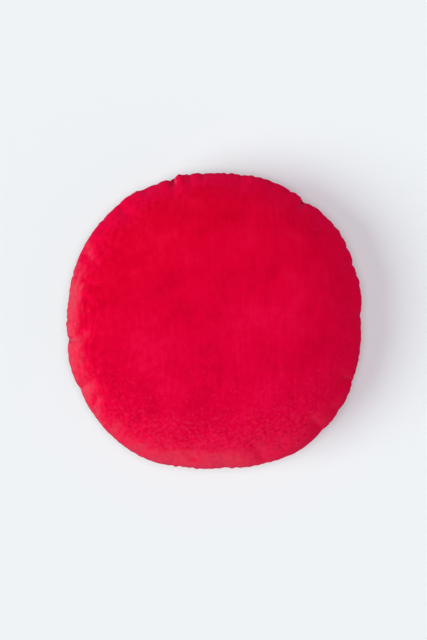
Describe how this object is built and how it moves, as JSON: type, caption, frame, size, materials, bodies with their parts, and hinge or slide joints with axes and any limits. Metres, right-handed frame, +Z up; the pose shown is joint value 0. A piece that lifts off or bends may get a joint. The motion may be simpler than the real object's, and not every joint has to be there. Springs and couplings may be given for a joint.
{
  "type": "round cushion",
  "caption": "Round filled velvet cushion with a crowned front, a plain sewn edge drawn in by small gathers, and a back flat where it rests.",
  "frame": {"origin": "on the surface that the cushion lies on, under the middle of its box", "axes": "+Z up, out of the front panel; the front faces up and the picture's upper edge points along +Y"},
  "size_m": [0.3712, 0.3724, 0.1171],
  "materials": {
    "velvet": "short crimson velvet pile, matt with a soft pale sheen towards the rim"
  },
  "bodies": {
    "root": {"cushion": "velvet"}
  },
  "joints": []
}
